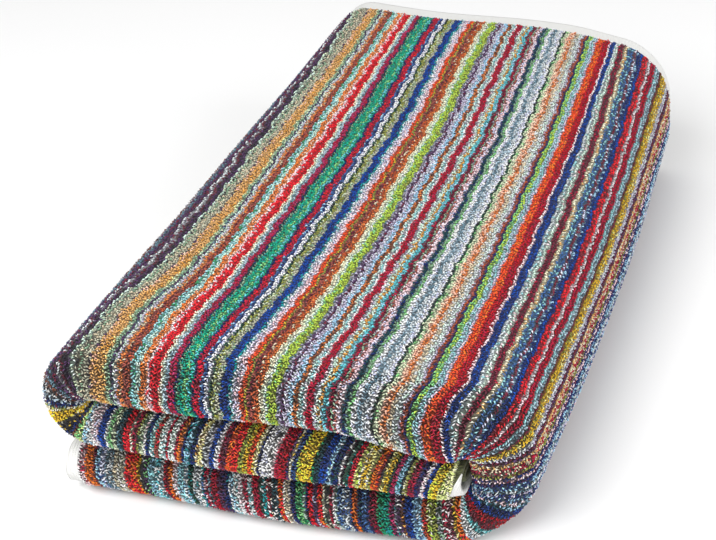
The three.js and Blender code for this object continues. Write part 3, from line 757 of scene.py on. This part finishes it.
def sheet_material(settings):
    """Striped ground under the loops, darkened by painted shade that is stronger on the noses, and
    white ribbed hems and selvedges.
    """
    material, shader = cloth_material("terry_ground")
    tree = material.node_tree
    threads = tree.nodes.new("ShaderNodeUVMap")
    threads.uv_map = "Threads"
    split = tree.nodes.new("ShaderNodeSeparateXYZ")
    tree.links.new(threads.outputs[0], split.inputs[0])
    across, along = split.outputs[0], split.outputs[1]
    stripes = stripe_ramps(tree, across)
    stretch = tree.nodes.new("ShaderNodeVectorMath")
    stretch.operation = "MULTIPLY"
    stretch.inputs[1].default_value = GROUND_STRETCH
    tree.links.new(threads.outputs[0], stretch.inputs[0])
    noise = tree.nodes.new("ShaderNodeTexNoise")
    noise.inputs["Scale"].default_value = GROUND_GRAIN
    noise.inputs["Detail"].default_value = 1
    tree.links.new(stretch.outputs[0], noise.inputs["Vector"])
    # Painted shade of the ground between the loops, made deeper on the noses
    depth = math_node(tree, "POWER", noise.outputs[0], GROUND_POWER)
    depth = math_node(tree, "MULTIPLY", depth, GROUND_GAIN * settings.ground_painted_shade)
    nose = math_node(tree, "LESS_THAN", along, (NOSE_TO + NOSE_DARK_LAP) * MM)
    lit = math_node(tree, "SUBTRACT", 1, math_node(tree, "MULTIPLY", nose, NOSE_PAINTED_SHADE))
    depth = math_node(tree, "MULTIPLY", depth, lit)
    ground = scaled_colour(tree, stripes, depth)
    edges = []
    for value, low, high in (
        (across, PILE_FROM, PILE_TO),
        (along, HEM_DEPTH + HEM_LAP, CUT_LENGTH - HEM_DEPTH - HEM_LAP),
    ):
        edges.append(math_node(tree, "LESS_THAN", value, low * MM))
        edges.append(math_node(tree, "GREATER_THAN", value, high * MM))
    flat = edges[0]
    for edge in edges[1:]:
        flat = math_node(tree, "MAXIMUM", flat, edge)
    colour = mix_colour(tree, flat, ground, tuple(settings.hem_colour))
    tree.links.new(colour, shader.inputs["Base Color"])
    ribs = math_node(tree, "SINE", math_node(tree, "MULTIPLY", across, 2 * math.pi / RIB_PITCH))
    picks = math_node(tree, "SINE", math_node(tree, "MULTIPLY", along, 2 * math.pi / PICK_PITCH))
    weave = math_node(tree, "ADD", ribs, math_node(tree, "MULTIPLY", picks, PICK_SHARE))
    bump = tree.nodes.new("ShaderNodeBump")
    bump.inputs["Strength"].default_value = WEAVE_STRENGTH
    bump.inputs["Distance"].default_value = WEAVE_DEPTH
    tree.links.new(weave, bump.inputs["Height"])
    tree.links.new(bump.outputs[0], shader.inputs["Normal"])
    return material


def loop_material():
    """Cotton yarn in the colour that each loop carries."""
    material, shader = cloth_material("terry_loops")
    tree = material.node_tree
    yarn = tree.nodes.new("ShaderNodeAttribute")
    yarn.attribute_name = "yarn"
    place = tree.nodes.new("ShaderNodeTexCoord")
    noise = tree.nodes.new("ShaderNodeTexNoise")
    noise.inputs["Scale"].default_value = YARN_GRAIN
    noise.inputs["Detail"].default_value = 1
    tree.links.new(place.outputs["Object"], noise.inputs["Vector"])
    uneven = math_node(tree, "MULTIPLY", noise.outputs[0], YARN_RANGE)
    shade = math_node(tree, "ADD", uneven, YARN_LEAST)
    colour = scaled_colour(tree, yarn.outputs["Color"], shade)
    tree.links.new(colour, shader.inputs["Base Color"])
    return material


def rim_place(u, v, side_rim, shows):
    """Place in the baking layout of a corner of the cut's rim, from its shares of the cut."""
    band, end = (v, u) if side_rim else (u, v)
    x = BAKE_EDGE + BAKE_WIDTH * band + (BAKE_HALF if side_rim else 0)
    y = BAKE_RIMS + (0 if end < 0.5 else BAKE_RIM_STEP) + (BAKE_RIM_WIDTH if shows else 0)
    return x, y


class TOWEL_OT_folded_sheet(bpy.types.Operator):
    """Fold the ground cloth with its hems and selvedges"""

    bl_idname = "towel.folded_sheet"
    bl_label = "Folded sheet"

    def execute(self, context):
        columns = stations(CROSS_FOLD)
        rows = stations(LONG_FOLD)
        last_column = len(columns) - 1
        last_row = len(rows) - 1
        bm = bmesh.new()
        bmesh.ops.create_grid(bm, x_segments=last_column, y_segments=last_row, size=0.5)
        bmesh.ops.solidify(bm, geom=bm.faces[:], thickness=1)
        bm.verts.ensure_lookup_table()
        places = np.array([v.co for v in bm.verts])
        low = places[:, 2].min()
        high = places[:, 2].max()
        column = np.rint((places[:, 0] + 0.5) * last_column).astype(int)
        row = np.rint((places[:, 1] + 0.5) * last_row).astype(int)
        shows = places[:, 2] > (low + high) / 2
        across, along = columns[column], rows[row]
        from_side = np.minimum(across, CUT_WIDTH - across)
        from_end = np.minimum(along, CUT_LENGTH - along)
        flat = (from_side <= SELVEDGE_DEPTH + SMALL) | (from_end <= HEM_DEPTH + SMALL)
        hidden = np.interp(across, *zip(*HIDDEN_FACE))
        rise = np.where(shows, np.where(flat, FLAT_FACE, GROUND_FACE),
                        -np.where(flat, FLAT_FACE, hidden))
        folded = cloth_places(across, along, rise)
        chart = across - column_drift(across, along)
        threads = bm.loops.layers.uv.new("Threads")
        baking = bm.loops.layers.uv.new("OFBake")
        for face in bm.faces:
            ids = [loop.vert.index for loop in face.loops]
            rim = len({bool(shows[i]) for i in ids}) == 2
            side_rim = rim and len({int(column[i]) for i in ids}) == 1
            for loop, i in zip(face.loops, ids):
                loop[threads].uv = (chart[i] * MM, along[i] * MM)
                u = across[i] / CUT_WIDTH
                v = along[i] / CUT_LENGTH
                if rim:
                    loop[baking].uv = rim_place(u, v, side_rim, shows[i])
                else:
                    half = 0 if shows[i] else BAKE_HALF
                    loop[baking].uv = (BAKE_EDGE + BAKE_WIDTH * u + half,
                                       BAKE_EDGE + BAKE_HEIGHT * v)
        for vertex, place in zip(bm.verts, folded):
            vertex.co = place
        if bm.calc_volume(signed=True) < 0:
            bmesh.ops.reverse_faces(bm, faces=bm.faces[:])
        mesh = bpy.data.meshes.new("terry_sheet")
        bm.to_mesh(mesh)
        bm.free()
        for polygon in mesh.polygons:
            polygon.use_smooth = True
        piece = new_piece("terry_sheet", mesh, sheet_material(context.scene.towel_sheet))
        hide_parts("towel")
        return {"FINISHED"}


def unit(vectors):
    """The same directions with a length of 1."""
    return vectors / np.linalg.norm(vectors, axis=1, keepdims=True)


def loop_template():
    """A spindle for one loop, along z from foot to foot, and its triangles."""
    bm = bmesh.new()
    bmesh.ops.create_uvsphere(bm, u_segments=3, v_segments=2, radius=1)
    bmesh.ops.triangulate(bm, faces=bm.faces[:])
    bm.verts.ensure_lookup_table()
    places = np.array([v.co for v in bm.verts])
    faces = np.array([[v.index for v in f.verts] for f in bm.faces])
    bm.free()
    return places, faces


def column_yarns(settings):
    """Main and other yarn of every column of loops, from the stripe chart."""
    pitch = settings.column_pitch / MM
    centres = np.arange(math.ceil(CUT_WIDTH / pitch)) * pitch
    ends = STRIPES_START + np.cumsum([row[3] for row in STRIPES])
    index = np.clip(np.searchsorted(ends, centres), 0, len(STRIPES) - 1)
    main = np.array([linear(YARNS[row[0]]) for row in STRIPES])[index]
    second = np.array([linear(YARNS[row[1]]) for row in STRIPES])[index]
    share = np.array([row[2] for row in STRIPES])[index]
    swaps = np.random.default_rng(COLUMN_SEED).random(len(centres)) < share * SWAP_SHARE
    return (
        np.where(swaps[:, None], second, main),
        np.where(swaps[:, None], main, second),
    )


def loop_mesh(name, section, settings, yarns, draws):
    """Rows of loops over a section of the cut, as one mesh."""
    across_from, across_to, along_from, along_to = section
    row_pitch = settings.row_pitch / MM
    column_pitch = settings.column_pitch / MM
    if along_to - along_from < NOSE_SPAN:
        row_pitch *= NOSE_PITCH
    rows = np.arange(math.ceil(along_from / row_pitch), math.ceil(along_to / row_pitch))
    columns = np.arange(math.ceil(across_from / column_pitch), math.ceil(across_to / column_pitch))
    row, column = np.meshgrid(rows, columns, indexing="ij")
    row, column = row.ravel(), column.ravel()
    count = len(row)
    along = (row + COLUMN_STEPS[column % len(COLUMN_STEPS)]) * row_pitch
    along = along + draws.normal(0, SPREAD_ALONG, count)
    across = column * column_pitch
    across = across + column_drift(across, along) + draws.normal(0, SPREAD_ACROSS, count)
    across = np.clip(across, PILE_FROM, PILE_TO)
    flipped = draws.random(count) < FLIP_SHARE
    side = np.where(column % 2 == 0, 1.0, -1.0) * np.where(flipped, -1, 1)
    fleck = draws.random(count) < FLECK_SHARE
    yarn = np.where(fleck[:, None], yarns[1][column], yarns[0][column])
    # Random tone of each loop; on the noses its wider spread also paints shade and highlight
    on_nose = along < NOSE_TO
    least = np.where(on_nose, NOSE_TONE_AND_PAINTED_LIGHT[0], TOP_BRIGHTNESS[0])
    most = np.where(on_nose, NOSE_TONE_AND_PAINTED_LIGHT[1], TOP_BRIGHTNESS[1])
    yarn = yarn * (least + draws.random(count) * (most - least))[:, None]

    lean = settings.lean * side + draws.normal(0, SPREAD_LEAN, count)
    length = settings.loop_length / 2 / MM * draws.uniform(*LENGTH_RANGE, count)
    width = settings.yarn_width / 2 / MM * draws.uniform(*WIDTH_RANGE, count)
    crown = CROWN_RISE + draws.normal(0, SPREAD_CROWN, count)
    tilt = draws.normal(0, SPREAD_TILT, count)
    place = cloth_places(across, along, crown)
    ahead = unit(cloth_places(across, along + NEAR, crown) - place)
    beside = cloth_places(across + NEAR, along, crown) - place
    beside = unit(beside - ahead * np.sum(beside * ahead, axis=1, keepdims=True))
    out = unit(cloth_places(across, along, crown + NEAR) - place)
    run = ahead * np.cos(lean)[:, None] + beside * np.sin(lean)[:, None]
    thick = np.cross(out, run)

    spindle, triangles = loop_template()
    to_foot = np.abs(spindle[:, 2])
    sideways = width[:, None] * spindle[:, 0] + tilt[:, None] * (1 - to_foot)
    upward = width[:, None] * spindle[:, 1] - FOOT_DROP * to_foot
    verts = (
        place[:, None, :]
        + run[:, None, :] * (length[:, None] * spindle[:, 2])[:, :, None] * MM
        + thick[:, None, :] * sideways[:, :, None] * MM
        + out[:, None, :] * upward[:, :, None] * MM
    )
    verts[:, :, 2] = np.maximum(verts[:, :, 2], 0)
    # Painted light on each loop: its colour is brightened to a painted highlight at the crown and
    # darkened to painted shade at the feet
    shade = CROWN_PAINTED_HIGHLIGHT + (FOOT_PAINTED_SHADE - CROWN_PAINTED_HIGHLIGHT) * to_foot
    colours = np.ones((count, len(spindle), 4))
    colours[:, :, :3] = np.clip(yarn[:, None, :] * shade[None, :, None], 0, 1)

    faces = triangles[None] + (np.arange(count) * len(spindle))[:, None, None]
    mesh = bpy.data.meshes.new(name)
    mesh.vertices.add(verts.size // 3)
    mesh.vertices.foreach_set("co", verts.ravel())
    mesh.loops.add(faces.size)
    mesh.loops.foreach_set("vertex_index", faces.ravel())
    mesh.polygons.add(faces.size // 3)
    mesh.polygons.foreach_set("loop_start", np.arange(0, faces.size, 3))
    mesh.polygons.foreach_set("use_smooth", np.ones(faces.size // 3, dtype=bool))
    mesh.update(calc_edges=True)
    layer = mesh.color_attributes.new("yarn", "FLOAT_COLOR", "POINT")
    layer.data.foreach_set("color", colours.ravel())
    mesh.validate()
    return mesh


class TOWEL_OT_pile(bpy.types.Operator):
    """Stand the loops of the pile on the faces that show"""

    bl_idname = "towel.pile"
    bl_label = "Loop pile"

    def execute(self, context):
        settings = context.scene.towel_pile
        material = loop_material()
        yarns = column_yarns(settings)
        draws = np.random.default_rng(LOOP_SEED)
        for name, *section in PILE_SECTIONS:
            mesh = loop_mesh(name, section, settings, yarns, draws)
            new_piece(name, mesh, material)
        return {"FINISHED"}


# The camera: where it stands, what it looks at, how far it leans over, its lens, sensor and reach
CAMERA_PLACE = (0.27807, -0.81058, 0.54764)
CAMERA_AIM = (-0.01652, -0.04716, 0.044)
CAMERA_ROLL = math.radians(4.936)
CAMERA_LENS = 85.3
CAMERA_SENSOR = 36
CAMERA_REACH = (0.05, 20)

# Half the floor's side and its roughness, the light from all around, and what the lights aim at
FLOOR_REACH = 6
FLOOR_ROUGHNESS = 0.9
SKY_STRENGTH = 0.66
LIGHT_AIM = (0, 0, 0.04)

# Soft lights: name, place, width and height in metres, share of the key light's power
LIGHTS = (
    ("key_light", (-0.3, -0.75, 0.95), 0.8, 0.8, 1.0),
    ("front_light", (0.4, -1.5, 0.8), 1.2, 0.9, 0.4),
    ("right_light", (1.5, -0.1, 0.8), 1.0, 1.0, 0.9),
)


class TOWEL_OT_stage(bpy.types.Operator):
    """Lay a plain pale floor and set soft light and the camera"""

    bl_idname = "towel.stage"
    bl_label = "Stage"

    def execute(self, context):
        settings = context.scene.towel_stage
        bm = bmesh.new()
        bmesh.ops.create_grid(bm, x_segments=1, y_segments=1, size=FLOOR_REACH)
        mesh = bpy.data.meshes.new("floor")
        bm.to_mesh(mesh)
        bm.free()
        floor = bpy.data.objects.new("floor", mesh)
        context.scene.collection.objects.link(floor)
        material = bpy.data.materials.new("pale_floor")
        material.use_nodes = True
        shader = material.node_tree.nodes["Principled BSDF"]
        shader.inputs["Base Color"].default_value = (*settings.floor_colour, 1)
        shader.inputs["Roughness"].default_value = FLOOR_ROUGHNESS
        mesh.materials.append(material)

        for name, place, width, height, share in LIGHTS:
            data = bpy.data.lights.new(name, "AREA")
            data.shape = "RECTANGLE"
            data.size, data.size_y = width, height
            data.energy = settings.key_power * share
            light = bpy.data.objects.new(name, data)
            light.location = place
            aim = Vector(LIGHT_AIM) - Vector(place)
            light.rotation_euler = aim.to_track_quat("-Z", "Y").to_euler()
            context.scene.collection.objects.link(light)

        world = bpy.data.worlds.new("studio")
        world.use_nodes = True
        background = world.node_tree.nodes["Background"]
        background.inputs["Color"].default_value = (1, 1, 1, 1)
        background.inputs["Strength"].default_value = SKY_STRENGTH
        context.scene.world = world
        context.scene.view_settings.view_transform = "Standard"

        data = bpy.data.cameras.new("camera")
        data.lens = CAMERA_LENS
        data.sensor_width = CAMERA_SENSOR
        data.clip_start, data.clip_end = CAMERA_REACH
        camera = bpy.data.objects.new("camera", data)
        camera.location = CAMERA_PLACE
        look = (Vector(CAMERA_AIM) - Vector(CAMERA_PLACE)).to_track_quat("-Z", "Y")
        roll = Matrix.Rotation(-CAMERA_ROLL, 4, "Z").to_quaternion()
        camera.rotation_mode = "QUATERNION"
        camera.rotation_quaternion = look @ roll
        context.scene.collection.objects.link(camera)
        context.scene.camera = camera
        return {"FINISHED"}


class TOWEL_PT_panel(bpy.types.Panel):
    """Lists the towel's pieces in the sidebar"""

    bl_idname = "TOWEL_PT_panel"
    bl_label = "Folded towel"
    bl_space_type = "VIEW_3D"
    bl_region_type = "UI"
    bl_category = "Towel"

    def draw(self, context):
        scene = context.scene
        for group, operator in (
            (scene.towel_stage, "towel.stage"),
            (scene.towel_sheet, "towel.folded_sheet"),
            (scene.towel_pile, "towel.pile"),
        ):
            box = self.layout.box()
            for key in group.bl_rna.properties.keys():
                if key not in ("rna_type", "name"):
                    box.prop(group, key)
            box.operator(operator)


CLASSES = (
    TowelSheetSettings,
    TowelPileSettings,
    TowelStageSettings,
    TOWEL_OT_stage,
    TOWEL_OT_folded_sheet,
    TOWEL_OT_pile,
    TOWEL_PT_panel,
)


def register():
    for cls in CLASSES:
        bpy.utils.register_class(cls)
    bpy.types.Scene.towel_sheet = bpy.props.PointerProperty(type=TowelSheetSettings)
    bpy.types.Scene.towel_pile = bpy.props.PointerProperty(type=TowelPileSettings)
    bpy.types.Scene.towel_stage = bpy.props.PointerProperty(type=TowelStageSettings)


def unregister():
    del bpy.types.Scene.towel_stage
    del bpy.types.Scene.towel_pile
    del bpy.types.Scene.towel_sheet
    for cls in reversed(CLASSES):
        bpy.utils.unregister_class(cls)


def main():
    register()
    bpy.ops.towel.stage()
    bpy.ops.towel.folded_sheet()
    bpy.ops.towel.pile()
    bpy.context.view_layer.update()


if __name__ == "__main__":
    main()
